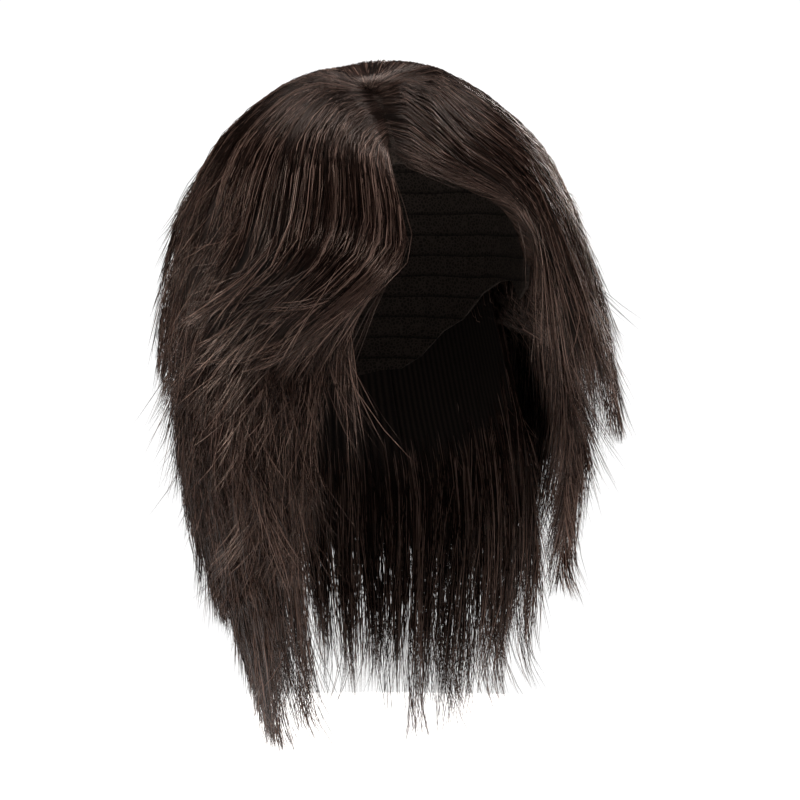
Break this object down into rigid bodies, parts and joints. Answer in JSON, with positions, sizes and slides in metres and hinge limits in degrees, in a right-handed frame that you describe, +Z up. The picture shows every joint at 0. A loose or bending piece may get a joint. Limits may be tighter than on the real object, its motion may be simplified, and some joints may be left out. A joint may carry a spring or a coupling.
{
  "type": "human hair wig",
  "caption": "Shoulder-length layered hair wig: a hollow net cap covered with overlapping sections of dark brown hair, with a side part, a front wave and feathered ends.",
  "frame": {"origin": "the inside of the cap at the crown, where the wig sits on the head", "axes": "+Z up, -Y the way the wearer faces, +X the wearer's left"},
  "size_m": [0.2263, 0.2267, 0.3655],
  "materials": {
    "hair": "satin",
    "cap_net": "matte"
  },
  "bodies": {
    "root": {"cap": "cap_net", "sweep_right": "hair", "crown_back": "hair", "sweep_left": "hair", "side_right": "hair", "back_middle": "hair", "side_left": "hair", "nape_right": "hair", "nape_back": "hair", "nape_left": "hair", "wisps_right": "hair"}
  },
  "joints": []
}
